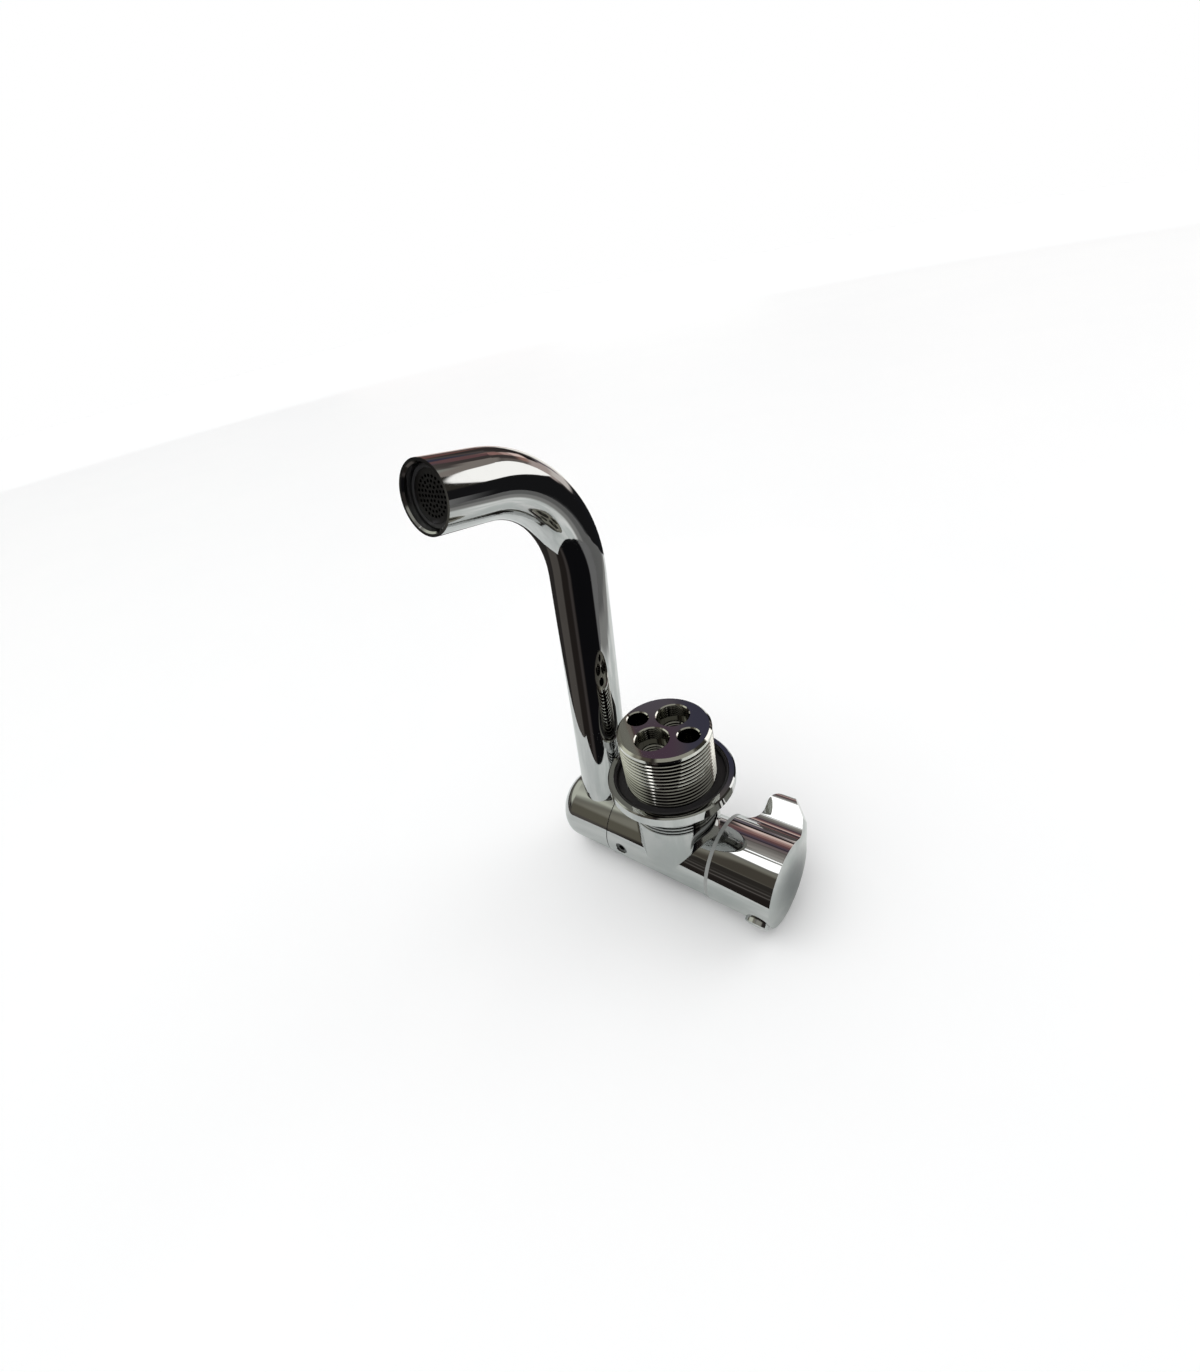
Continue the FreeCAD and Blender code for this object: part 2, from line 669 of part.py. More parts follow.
def make_cartridge():
    holed_disc("Gasket", "cartridge_base_seal", "gasket_radius", "chamber_floor", "gasket_height")
    holed_disc("Base", "cartridge_base", "cartridge_radius", BASE_START, "base_height")
    holed_disc("Fixed", "fixed_disc", "fixed_disc_radius", BASE_END, "fixed_disc_height")
    shell = turned("Housing", [
        ("housing_bore_radius", BASE_END),
        ("cartridge_radius", BASE_END),
        ("cartridge_radius", "housing_end"),
        ("lid_bore_radius", "housing_end"),
        ("lid_bore_radius", "housing_end - lid_height"),
        ("housing_bore_radius", "housing_end - lid_height")])
    finish(shell, "cartridge_housing", TURNED_BARREL)

    disc = cylinder("Moving_plate", "moving_disc_radius", "moving_disc_height",
                    (MOVING_START, "0", "0"), ALONG_X)
    pocket = box("Moving_pocket", ("2.2", "3.4", "11.2"), (MOVING_START + " - 1", "1.2", "-5.6"))
    finish(cut("Moving", disc, [pocket]), "moving_disc", LEVER)

    plate = cylinder("Carrier_plate", "moving_disc_radius", "carrier_height", (MOVING_END, "0", "0"), ALONG_X)
    slot = box("Carrier_slot", ("carrier_height", "2 * carrier_slot_half", "2 * carrier_slot_half"),
               (MOVING_END + " + carrier_floor", "-carrier_slot_half", "-carrier_slot_half"))
    finish(cut("Carrier", plate, [slot]), "disc_carrier", LEVER)

    flange = cylinder("Rotor_flange", "housing_bore_radius - 0.06",
                      f"rotor_flange_end - {CARRIER_END} - rotor_gap",
                      (CARRIER_END + " + rotor_gap", "0", "0"), ALONG_X)
    neck = cylinder("Rotor_neck", "rotor_neck_radius", f"rotor_end - {CARRIER_END} - rotor_gap",
                    (CARRIER_END + " + rotor_gap", "0", "0"), ALONG_X)
    window = box("Rotor_slot", ("rotor_end", "2 * rotor_slot_reach", "2 * rotor_slot_half"),
                 (CARRIER_END, "-rotor_slot_reach", "-rotor_slot_half"))
    pin_hole = cylinder("Rotor_pin_hole", "pin_radius", "2 * nut_radius", ("pivot_x", "0", "-nut_radius"))
    rotor = cut("Rotor", fuse("Rotor_solid", [flange, neck]), [window, pin_hole])
    finish(rotor, "cartridge_rotor", LEVER)

    stem = box("Spindle_stem", ("spindle_end - spindle_start", "2 * spindle_half", "2 * spindle_half"),
               ("spindle_start", "-spindle_half", "-spindle_half"))
    tip = box("Spindle_tip", ("spindle_start - spindle_tip_start + 1", "2 * spindle_tip_half",
                              "2 * spindle_tip_half"),
              ("spindle_tip_start", "-spindle_tip_half", "-spindle_tip_half"))
    spindle_hole = cylinder("Spindle_pin_hole", "pin_radius + fit", "4 * spindle_half",
                            ("pivot_x", "0", "-2 * spindle_half"))
    finish(cut("Spindle", fuse("Spindle_solid", [stem, tip]), [spindle_hole]), "cartridge_spindle", LEVER)
    pin = cylinder("Pin", "pin_radius", "2 * pin_reach", ("0", "0", "0"))
    for axis in "xyz":
        pin.setExpression(f"Placement.Base.{axis}", None)
    pin_at = Placement(Vector(value("pivot_x"), 0, -value("pin_reach")), Rotation())
    finish(pin, "spindle_pin", LEVER.multiply(pin_at))

    ring = cylinder("Nut_ring", "nut_radius", "nut_shoulder - housing_end", ("housing_end", "0", "0"), ALONG_X)
    hexagon = prism("Nut_hex", "nut_hex_flats / (2 * cos(30))", "nut_end - housing_end",
                    ("housing_end", "0", "0"), ALONG_X)
    bore = cylinder("Nut_bore", "nut_bore_radius", "nut_end", ("housing_end - 1", "0", "0"), ALONG_X)
    finish(cut("Nut", fuse("Nut_solid", [ring, hexagon]), [bore]), "cartridge_nut", BARREL)


# Handle: a shell off the barrel's axis towards its lever, with a domed end and a boss on the spindle.
def lever_edges(shape):
    """The edges where the lever's sides and back meet the handle's round outside."""
    offset = value("handle_offset")
    radius = value("handle_radius")
    start = value("lever_start")
    names = []
    for number, edge in enumerate(shape.Edges, start=1):
        points = edge.discretize(5)
        if all(abs(((p.y - offset) ** 2 + p.z ** 2) ** 0.5 - radius) < 0.01 for p in points):
            if all(p.x > start - 0.01 and p.y > offset for p in points):
                if all(abs(p.z) < value("lever_half") + 0.01 for p in points):
                    names.append(number)
    return names


def tip_edges(shape):
    """The edges of the lever's tip with their radii: one across its back, one along each side."""
    start, reach = value("lever_start"), value("lever_reach") + value("handle_offset")
    half, corner, rounding = value("lever_half"), value("lever_corner"), value("lever_round")
    names = []
    for number, edge in enumerate(shape.Edges, start=1):
        points = edge.discretize(5)
        if all(abs(p.y - reach) < 0.01 and abs(p.x - start) < 0.01 for p in points):
            names.append((number, corner, corner))
        if all(abs(p.y - reach) < 0.01 and abs(abs(p.z) - half) < 0.01 for p in points):
            names.append((number, rounding, rounding))
    return names


def make_handle():
    reach = "handle_end + 2 * dome_height"
    outside = cylinder("Handle_outside", "handle_radius",
                       f"{reach} - ring_start - ring_height - handle_gap",
                       ("ring_start + ring_height + handle_gap", "handle_offset", "0"), ALONG_X)
    lever = box("Lever", (f"{reach} - lever_start", "lever_reach", "2 * lever_half"),
                ("lever_start", "handle_offset", "-lever_half"))
    solid = fuse("Handle_with_lever", [outside, lever])
    doc.recompute()
    root = doc.addObject("Part::Fillet", "Lever_root")
    root.Base = solid
    radius = value("lever_fillet")
    root.Edges = [(number, radius, radius) for number in lever_edges(solid.Shape)]
    doc.recompute()
    corner = doc.addObject("Part::Fillet", "Lever_corner")
    corner.Base = root
    corner.Edges = tip_edges(root.Shape)
    doc.recompute()
    sphere_radius = "((handle_radius ^ 2 + dome_height ^ 2) / (2 * dome_height))"
    ball = doc.addObject("Part::Sphere", "End_dome")
    bind(ball, Radius=sphere_radius)
    ball.Angle1 = -90
    ball.Angle2 = 90
    put(ball, (f"handle_end + dome_height - {sphere_radius}", "handle_offset", "0"), ALONG_X)
    domed = common("Handle_domed", corner, ball)
    start = "(ring_start + ring_height)"
    skirt = cylinder("Handle_skirt", "skirt_radius", f"skirt_end - {start}", (start, "handle_offset", "0"), ALONG_X)
    hollow = cylinder("Handle_hollow", "hollow_radius", f"hollow_end - {start}",
                      (start, "handle_offset", "0"), ALONG_X)
    boss = cylinder("Handle_boss", "boss_radius", "hollow_end", ("boss_start", "0", "0"), ALONG_X)
    inside = cut("Handle_inside", fuse("Handle_hollows", [skirt, hollow]), [boss])
    socket = box("Handle_socket", ("spindle_end + 0.4 - boss_start + 1", "2 * spindle_half + 0.1",
                                   "2 * spindle_half + 0.1"),
                 ("boss_start - 1", "-spindle_half - 0.05", "-spindle_half - 0.05"))
    screw_hole = cylinder("Handle_screw_hole", "screw_radius + fit", "handle_radius",
                          ("plug_x", "0", "0"), ALONG_MINUS_Y)
    plug_hole = cylinder("Handle_plug_hole", "plug_radius + fit", "handle_radius",
                         ("plug_x", "handle_offset - plug_bottom", "0"), ALONG_MINUS_Y)
    slant = box("Lever_slant", ("lever_reach", "lever_reach", "4 * lever_half"),
                ("slant_x", "handle_offset + slant_reach", "-2 * lever_half"),
                Rotation(Vector(0, 0, 1), value("slant_angle")))
    handle = cut("Handle", domed, [inside, socket, screw_hole, plug_hole, slant])
    finish(handle, "handle", LEVER)

    screw = cylinder("Set_screw_shaft", "screw_radius", "screw_outer - spindle_half",
                     ("plug_x", "-spindle_half", "0"), ALONG_MINUS_Y)
    key = prism("Set_screw_key", "screw_key_radius", "screw_key_depth + 1",
                ("plug_x", "-screw_outer + screw_key_depth", "0"), ALONG_MINUS_Y)
    finish(cut("Set_screw", screw, [key]), "handle_set_screw", LEVER)

    plug = turned("Plug", [
        ("0", "plug_bottom"),
        ("plug_radius", "plug_bottom"),
        ("plug_radius", "plug_side"),
        ("plug_radius - 0.35", "plug_side + 0.35"),
        ("plug_radius * 0.62", "plug_top - 0.12"),
        ("plug_radius * 0.3", "plug_top"),
        ("0", "plug_top")])
    plug_at = Placement(Vector(value("plug_x"), value("handle_offset"), 0), ALONG_MINUS_Y)
    finish(plug, "handle_plug", LEVER.multiply(plug_at))

    ring = turned("Skirt_ring", [
        ("skirt_radius", "ring_start"),
        ("skirt_ring_radius", "ring_start"),
        ("skirt_ring_radius", "ring_start + ring_height + handle_gap"),
        ("skirt_radius", "ring_start + ring_height + handle_gap")])
    ring_at = Placement(Vector(0, value("handle_offset"), 0), ALONG_X)
    finish(ring, "skirt_ring", LEVER.multiply(ring_at))


MOUTH_IN_TUBE = SPOUT.multiply(Placement(Vector(-value("tube_x"), 0, 0), Rotation())).inverse().multiply(MOUTH)

make_body()
make_flange()
make_hub()
make_retainer()
make_tube()
make_aerator()
make_cartridge()
make_handle()
doc.recompute()

broken = [o.Name for o in doc.Objects if {"Invalid", "Error"} & set(o.State)]
if broken:
    print("failed objects:", broken)
    sys.exit(1)
os.makedirs("parts", exist_ok=True)
for item in SUBPARTS:
    shape = item.Shape
    if shape.isNull() or not shape.isValid() or len(shape.Solids) != 1:
        print("bad shape:", item.Label, shape.isNull(), len(shape.Solids))
        sys.exit(1)
    shape.exportStep(f"parts/{item.Label}.step")
    box_of = shape.BoundBox
    print(f"{item.Label:24s} volume {shape.Volume:10.1f}  x {box_of.XMin:7.2f} {box_of.XMax:7.2f}"
          f"  y {box_of.YMin:7.2f} {box_of.YMax:7.2f}  z {box_of.ZMin:7.2f} {box_of.ZMax:7.2f}")
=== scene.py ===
import bmesh
import bpy
import json
import math
from mathutils import Matrix, Vector


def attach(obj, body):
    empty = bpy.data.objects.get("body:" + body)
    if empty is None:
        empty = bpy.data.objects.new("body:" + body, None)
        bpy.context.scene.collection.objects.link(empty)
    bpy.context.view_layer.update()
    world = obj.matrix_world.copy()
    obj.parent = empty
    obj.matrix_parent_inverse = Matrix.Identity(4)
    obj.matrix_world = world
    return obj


# Basin mixer tap with a fold-over spout, lying upside down as photographed. Metres; +Z runs along the
# threaded shank, away from the barrel, +X along the barrel towards the handle.

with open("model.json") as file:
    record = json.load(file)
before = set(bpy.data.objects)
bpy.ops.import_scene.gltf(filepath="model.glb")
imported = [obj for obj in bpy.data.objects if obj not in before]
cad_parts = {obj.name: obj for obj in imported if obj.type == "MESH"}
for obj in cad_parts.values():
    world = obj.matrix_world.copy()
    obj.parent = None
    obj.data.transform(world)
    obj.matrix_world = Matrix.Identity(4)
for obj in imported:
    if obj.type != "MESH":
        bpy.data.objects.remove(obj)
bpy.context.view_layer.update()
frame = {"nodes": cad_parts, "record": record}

MM = 0.001
DEGREES = 180 / math.pi


class Build:
    """A node material under construction: short calls for the nodes that the materials share."""

    def __init__(self, name):
        self.material = bpy.data.materials.new(name)
        self.material.use_nodes = True
        self.tree = self.material.node_tree
        self.tree.nodes.clear()
        self.out = self.tree.nodes.new("ShaderNodeOutputMaterial")

    def node(self, kind, **values):
        made = self.tree.nodes.new(kind)
        for key, value in values.items():
            setattr(made, key, value)
        return made

    def link(self, a, b):
        self.tree.links.new(a, b)

    def feed(self, socket, value):
        if isinstance(value, bpy.types.NodeSocket):
            self.link(value, socket)
        elif isinstance(value, (tuple, list)) and len(value) == 3 and len(socket.default_value) == 4:
            socket.default_value = (*value, 1.0)
        else:
            socket.default_value = value

    def feed_all(self, made, values):
        for socket, value in zip(made.inputs, values):
            self.feed(socket, value)
        return made.outputs

    def place(self):
        return self.node("ShaderNodeTexCoord").outputs["Object"]

    def xyz(self, vector):
        return self.feed_all(self.node("ShaderNodeSeparateXYZ"), [vector])

    def math(self, operation, *values):
        return self.feed_all(self.node("ShaderNodeMath", operation=operation), values)[0]

    def vector(self, operation, *values):
        made = self.feed_all(self.node("ShaderNodeVectorMath", operation=operation), values)
        return made["Value" if operation == "DISTANCE" else "Vector"]

    def product(self, first, *factors):
        for factor in factors:
            first = self.math("MULTIPLY", first, factor)
        return first

    def distance(self, x, y):
        return self.math("SQRT", self.math("ADD", self.product(x, x), self.product(y, y)))

    def stretch(self, vector, scale):
        made = self.node("ShaderNodeMapping")
        self.link(vector, made.inputs["Vector"])
        made.inputs["Scale"].default_value = scale
        return made.outputs[0]

    def noise(self, vector, scale, detail=3.0, rough=0.55):
        made = self.node("ShaderNodeTexNoise")
        self.link(vector, made.inputs["Vector"])
        made.inputs["Scale"].default_value = scale
        made.inputs["Detail"].default_value = detail
        made.inputs["Roughness"].default_value = rough
        return made.outputs["Fac"]

    def ramp(self, value, low, high, at_low, at_high):
        made = self.node("ShaderNodeMapRange", interpolation_type="SMOOTHSTEP")
        return self.feed_all(made, (value, low, high, at_low, at_high))["Result"]

    def rise(self, value, low, high, most=1.0):
        return self.ramp(value, low, high, 0.0, most)

    def fall(self, value, low, high, most=1.0):
        return self.ramp(value, low, high, most, 0.0)

    def mix(self, factor, a, b):
        made = self.node("ShaderNodeMix", data_type="RGBA")
        self.feed(made.inputs[0], factor)
        self.feed(made.inputs[6], a)
        self.feed(made.inputs[7], b)
        return made.outputs[2]

    def mix_vectors(self, factor, a, b):
        made = self.node("ShaderNodeMix", data_type="VECTOR")
        self.feed(made.inputs[0], factor)
        self.feed(made.inputs[4], a)
        self.feed(made.inputs[5], b)
        return made.outputs[1]

    def mix_numbers(self, factor, a, b):
        made = self.node("ShaderNodeMix", data_type="FLOAT")
        self.feed(made.inputs[0], factor)
        self.feed(made.inputs[2], a)
        self.feed(made.inputs[3], b)
        return made.outputs[0]

    def sphere_normal(self, at, top, radius, reach):
        """The surface's normal, but within reach of a sphere's top, which faces +X, the sphere's own."""
        outward = self.vector("SUBTRACT", at, (top[0] - radius, top[1], top[2]))
        turned = self.node("ShaderNodeVectorTransform", vector_type="NORMAL",
                           convert_from="OBJECT", convert_to="WORLD")
        self.link(outward, turned.inputs[0])
        near = self.fall(self.vector("DISTANCE", at, top), 0.85 * reach, reach)
        normal = self.node("ShaderNodeNewGeometry").outputs["Normal"]
        return self.mix_vectors(near, normal, self.vector("NORMALIZE", turned.outputs[0]))

    def bump(self, height, distance, strength, normal=None):
        made = self.node("ShaderNodeBump")
        made.inputs["Strength"].default_value = strength
        made.inputs["Distance"].default_value = distance
        self.link(height, made.inputs["Height"])
        if normal is not None:
            self.link(normal, made.inputs["Normal"])
        return made.outputs[0]

    def shader(self, **values):
        made = self.node("ShaderNodeBsdfPrincipled")
        for key, value in values.items():
            self.feed(made.inputs[key.replace("_", " ")], value)
        self.link(made.outputs[0], self.out.inputs["Surface"])
        return self.material


CHROMIUM = (0.56, 0.565, 0.562)
CHROMIUM_WORN = (0.50, 0.50, 0.49)
NICKEL = (0.70, 0.69, 0.645)
NICKEL_WORN = (0.60, 0.59, 0.545)
# painted shade: the dark tone laid into the thread's grooves, low on the thread next to the flange and
# inside the holes
PAINTED_SHADE = (0.025, 0.024, 0.022)

# soft borders on the threaded shank, each from where it starts to where it ends: radii from the shank's
# axis, then heights
SHANK_SIDE = (16.05 * MM, 16.2 * MM)
GROOVE_MOUTH = (15.35 * MM, 15.97 * MM)
GROOVE_FLOOR = (14.95 * MM, 15.0 * MM)
AROUND_HOLES = (13.8 * MM, 14.2 * MM)
NICKEL_FOOT = (-4.6 * MM, -4.0 * MM)
THREAD_FOOT = (-16.7 * MM, -16.4 * MM)
THREAD_END = (19.0 * MM, 19.4 * MM)
FLANGE_FACE = (-0.2 * MM, 0.0)
LOW_THREAD = (0.0, 12.0 * MM)
BELOW_END = (18.0 * MM, 19.0 * MM)
# how strongly the painted shade darkens the grooves, the thread next to the flange and the holes
SHADE_IN_GROOVES = 0.95
SHADE_NEXT_TO_FLANGE = 0.55
SHADE_IN_HOLES = 0.55

# the handle's domed end: the middle of its face, its sphere's radius, and how far its facets reach
HANDLE_TOP = (44.3 * MM, 0.866 * MM, -37.3 * MM)
HANDLE_SPHERE = 67.02 * MM
HANDLE_REACH = 5.0 * MM


def nickel_shank(b, at, color, rough):
    """Bare nickel over the shank, with painted shade in the grooves, low on the thread next to the flange
    and in the holes.
    """
    x, y, z = b.xyz(at)
    radius = b.distance(x, y)
    inside = b.fall(radius, *SHANK_SIDE)
    on_shank = b.product(inside, b.rise(z, *NICKEL_FOOT))
    turned = b.noise(b.stretch(at, (30.0, 30.0, 900.0)), 4.0)
    color = b.mix(on_shank, color, b.mix(b.product(turned, 0.4), NICKEL, NICKEL_WORN))
    rough = b.mix_numbers(on_shank, rough, b.math("ADD", b.product(turned, 0.05), 0.05))
    # painted shade low on the thread, darkest next to the flange
    low = b.product(b.fall(z, *LOW_THREAD, SHADE_NEXT_TO_FLANGE), inside, b.rise(z, *FLANGE_FACE))
    # painted shade in the thread's grooves
    groove = b.product(b.fall(radius, *GROOVE_MOUTH), b.rise(radius, *GROOVE_FLOOR),
                       b.rise(z, *THREAD_FOOT), b.fall(z, *THREAD_END), SHADE_IN_GROOVES)
    # painted shade on the walls inside the ports and holes, below the shank's end
    holes = b.product(b.fall(radius, *AROUND_HOLES), b.fall(z, *BELOW_END, SHADE_IN_HOLES))
    for painted_shade in (low, groove, holes):
        color = b.mix(painted_shade, color, PAINTED_SHADE)
    return color, rough


def chrome(name, threaded=False, domed=False):
    """Mirror chromium with faint smudges; the threaded shank is plain nickel, a little rougher. On the
    handle, the middle of the domed end takes its normal from the sphere, so that it mirrors evenly."""
    b = Build(name)
    at = b.place()
    smudge = b.rise(b.noise(at, 90.0, 4.0), 0.45, 0.75)
    haze = b.rise(b.noise(at, 420.0), 0.35, 0.75)
    color = b.mix(b.product(smudge, 0.45), CHROMIUM, CHROMIUM_WORN)
    rough = b.math("ADD", b.product(smudge, 0.05), b.product(haze, 0.012))
    rough = b.math("ADD", rough, 0.022)
    normal = b.sphere_normal(at, HANDLE_TOP, HANDLE_SPHERE, HANDLE_REACH) if domed else None
    ripple = b.bump(b.noise(at, 55.0, 1.0), 0.04 * MM, 0.5, normal)
    if threaded:
        color, rough = nickel_shank(b, at, color, rough)
    return b.shader(Base_Color=color, Metallic=1.0, Roughness=rough, Normal=ripple)


LATHE_MARKS = (400.0, 20.0, 20.0)
EVEN_MARKS = (120.0, 120.0, 120.0)


def metal(name, color, worn, rough=0.16, grain=EVEN_MARKS):
    """Turned or machined bare metal, with fine tool marks."""
    b = Build(name)
    at = b.place()
    marks = b.noise(b.stretch(at, grain), 6.0)
    spots = b.rise(b.noise(at, 300.0, 4.0), 0.45, 0.75)
    base = b.mix(b.product(spots, 0.6), color, worn)
    dull = b.math("ADD", b.product(marks, 0.25), rough)
    return b.shader(Base_Color=base, Metallic=1.0, Roughness=dull, Normal=b.bump(marks, 0.02 * MM, 0.4))


def moulded(name, color, shade, rough, pores=900.0, depth=0.01 * MM):
    """Moulded plastic, rubber or ground ceramic: a fine surface texture over a slightly uneven colour."""
    b = Build(name)
    at = b.place()
    cloud = b.noise(at, 130.0)
    fine = b.noise(at, pores, 2.0)
    base = b.mix(cloud, color, shade)
    dull = b.math("ADD", b.product(fine, 0.18), rough)
    return b.shader(Base_Color=base, Roughness=dull, Normal=b.bump(fine, depth, 0.5))


materials = {
    "chrome": chrome("chrome_plate"),
    "chrome_body": chrome("chrome_and_nickel", threaded=True),
    "chrome_handle": chrome("chrome_handle", domed=True),
    "brass": metal("turned_brass", (0.80, 0.62, 0.30), (0.62, 0.45, 0.20), grain=LATHE_MARKS),
    "steel": metal("machined_steel", (0.56, 0.56, 0.55), (0.42, 0.41, 0.40)),
    "black_rubber": moulded("black_rubber", (0.012, 0.012, 0.013), (0.028, 0.026, 0.027), 0.38,
                            pores=1400.0, depth=0.02 * MM),
    "dark_plastic": moulded("dark_plastic", (0.022, 0.022, 0.024), (0.040, 0.039, 0.041), 0.34),
    "white_plastic": moulded("white_plastic", (0.80, 0.80, 0.77), (0.72, 0.72, 0.69), 0.36),
    "grey_plastic": moulded("satin_grey_ring", (0.34, 0.35, 0.34), (0.26, 0.27, 0.26), 0.22),
    "ceramic": moulded("ground_ceramic", (0.86, 0.85, 0.80), (0.80, 0.79, 0.74), 0.12, pores=1800.0),
    "dark_steel": metal("darkened_steel", (0.13, 0.13, 0.13), (0.07, 0.07, 0.07), rough=0.22),
    "screen": metal("dark_screen", (0.10, 0.10, 0.11), (0.05, 0.05, 0.055), rough=0.30),
}

# each node takes its record slot's material, apart from these
special = {"body": "chrome_body", "handle": "chrome_handle", "aerator_screen": "screen",
           "spout_retaining_screw": "dark_steel"}
slots = {part["node"]: part["material_slot"] for part in frame["record"]["subparts"]}
for name, node in frame["nodes"].items():
    finish = materials[special.get(name, slots[name])]
    if not node.material_slots:
        node.data.materials.append(finish)
    for place in node.material_slots:
        place.material = finish


def flat_mesh(name, points, faces, material):
    """An object with flat faces that all look outwards."""
    mesh = bpy.data.meshes.new(name)
    mesh.from_pydata(points, [], faces)
    made = bmesh.new()
    made.from_mesh(mesh)
    bmesh.ops.recalc_face_normals(made, faces=made.faces)
    made.to_mesh(mesh)
    made.free()
    mesh.materials.append(material)
    for face in mesh.polygons:
        face.use_smooth = False
    piece = bpy.data.objects.new(name, mesh)
    bpy.context.scene.collection.objects.link(piece)
    return piece


PORT_X = -0.4 * MM
PORT_Y = 6.6 * MM
PORT_WALL = 4.53 * MM
THREAD_CREST = 4.05 * MM
THREAD_PITCH = 1.0 * MM
THREAD_LOW = 2.6 * MM
THREAD_HIGH = 13.4 * MM
# the ridge's corners: radius, and height in pitches
THREAD_PROFILE = ((PORT_WALL, -0.40), (THREAD_CREST, -0.08), (THREAD_CREST, 0.08), (PORT_WALL, 0.40))
STEPS_PER_TURN = 40
RUN_OUT_STEPS = 0.4 * STEPS_PER_TURN
LEAST_DEPTH = 0.02
LEAST_WIDTH = 0.05


def port_thread(name, y):
    """Inner thread of a hose port: one V ridge along a helix, its foot just inside the port's wall."""
    turns = (THREAD_HIGH - THREAD_LOW) / THREAD_PITCH
    count = int(turns * STEPS_PER_TURN)
    size = len(THREAD_PROFILE)
    points = []
    for i in range(count + 1):
        angle = 2 * math.pi * i / STEPS_PER_TURN
        height = THREAD_LOW + THREAD_PITCH * i / STEPS_PER_TURN
        fade = min(1.0, i / RUN_OUT_STEPS, (count - i) / RUN_OUT_STEPS)
        for radius, rise in THREAD_PROFILE:
            r = PORT_WALL + (radius - PORT_WALL) * max(fade, LEAST_DEPTH)
            points.append((PORT_X + r * math.cos(angle), y + r * math.sin(angle),
                           height + rise * THREAD_PITCH * max(fade, LEAST_WIDTH)))
    faces = []
    for i in range(count):
        for j in range(size):
            a = i * size + j
            b = i * size + (j + 1) % size
            faces.append((a, b, b + size, a + size))
    faces.append(tuple(range(size)))
    faces.append(tuple(range(count * size, (count + 1) * size)))
    piece = flat_mesh(name, points, faces, materials["chrome_body"])
    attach(piece, "tap_body")


port_thread("port_thread_far", PORT_Y)
port_thread("port_thread_near", -PORT_Y)


FLOOR_Z = -53.65 * MM
FLOOR_HALF = 4.0
TABLE_LIFT = 0.05 * MM
# outline of the pale table card, in millimetres: the tap lies near a corner of the table
TABLE_EDGE = [(-75, -110), (0, -78), (48, -54), (100, -30), (150, 10), (190, 62), (215, 130), (215, 210),
              (180, 290), (90, 330), (0, 325), (-100, 305), (-200, 250), (-232, 150), (-205, 80),
              (-188, 30), (-156, -30), (-116, -76)]
# the table's colours, the first two with both ends of their cloudiness
SPOUT_SIDE = ((0.58, 0.63, 0.615), (0.76, 0.80, 0.78))
HANDLE_SIDE = ((0.72, 0.76, 0.74), (0.99, 1.0, 0.98))
FAR_CORNER = (0.30, 0.30, 0.29)
BEYOND_CORNER = (0.12, 0.12, 0.12)
HANDLE_SHADE = (0.22, 0.235, 0.235)
WHITE = (1.0, 1.0, 1.0)
# where they run into each other, the painted pool of light on the spout's side, and the middle of the
# handle's painted shadow
SIDES_MEET = (-60 * MM, 70 * MM)
SPOUT_GLOW = (-65 * MM, 20 * MM)
CORNER_FADE = (120 * MM, 150 * MM)
BEYOND_FADE = (175 * MM, 210 * MM)
SHADE_FADE = (4 * MM, 26 * MM)
SHADE_X = 50 * MM
SHADE_Y = 15 * MM


def only_reflected(card):
    """A studio card: the metal reflects it, and it neither shows itself nor lights anything else."""
    for flag in ("visible_camera", "visible_diffuse", "visible_shadow", "visible_transmission",
                 "visible_volume_scatter"):
        setattr(card, flag, False)


def floor_material():
    b = Build("pale_floor")
    color = b.mix(b.noise(b.place(), 9.0), WHITE, (0.975, 0.98, 0.985))
    return b.shader(Base_Color=color, Roughness=0.6, Specular_IOR_Level=0.1)


def table_material():
    """Uneven pale grey, lighter on the handle's side, with a painted pool of light on the spout's side, a
    painted shadow of the handle, and darker towards the far corner.
    """
    b = Build("grey_table_card")
    at = b.place()
    x, y, z = b.xyz(at)
    cloud = b.rise(b.noise(at, 22.0, 5.0, 0.62), 0.36, 0.64)
    side = b.math("ADD", x, b.product(y, 0.35))
    color = b.mix(b.rise(side, *SIDES_MEET), b.mix(cloud, *SPOUT_SIDE), b.mix(cloud, *HANDLE_SIDE))
    # painted pool of light on the spout's side
    color = b.mix(b.fall(x, *SPOUT_GLOW, 0.35), color, WHITE)
    away = b.math("ADD", b.product(x, 0.8), b.product(y, 0.6))
    color = b.mix(b.rise(away, *CORNER_FADE), color, FAR_CORNER)
    color = b.mix(b.rise(away, *BEYOND_FADE, 0.8), color, BEYOND_CORNER)
    # painted shadow of the handle on the table
    from_shade = b.distance(b.math("SUBTRACT", x, SHADE_X), b.math("SUBTRACT", y, SHADE_Y))
    color = b.mix(b.fall(from_shade, *SHADE_FADE, 0.75), color, HANDLE_SHADE)
    return b.shader(Base_Color=color, Roughness=0.7, Specular_IOR_Level=0.1)


square = [(x * FLOOR_HALF, y * FLOOR_HALF, FLOOR_Z) for x, y in ((-1, -1), (1, -1), (1, 1), (-1, 1))]
floor = flat_mesh("floor", square, [tuple(range(len(square)))], floor_material())
floor.visible_glossy = False

ring = [(x * MM, y * MM, FLOOR_Z + TABLE_LIFT) for x, y in TABLE_EDGE]
only_reflected(flat_mesh("table_card", ring, [tuple(range(len(ring)))], table_material()))


def box(low, high, bottom, top):
    return [(low, bottom), (high, bottom), (high, top), (low, top)]


SURROUND_RADIUS = 2.0
SURROUND_SEGMENTS = 96
SURROUND_RINGS = 48
SURROUND_COLOR = (0.035, 0.030, 0.028)
SEAM = 60.0
TURN = 360.0
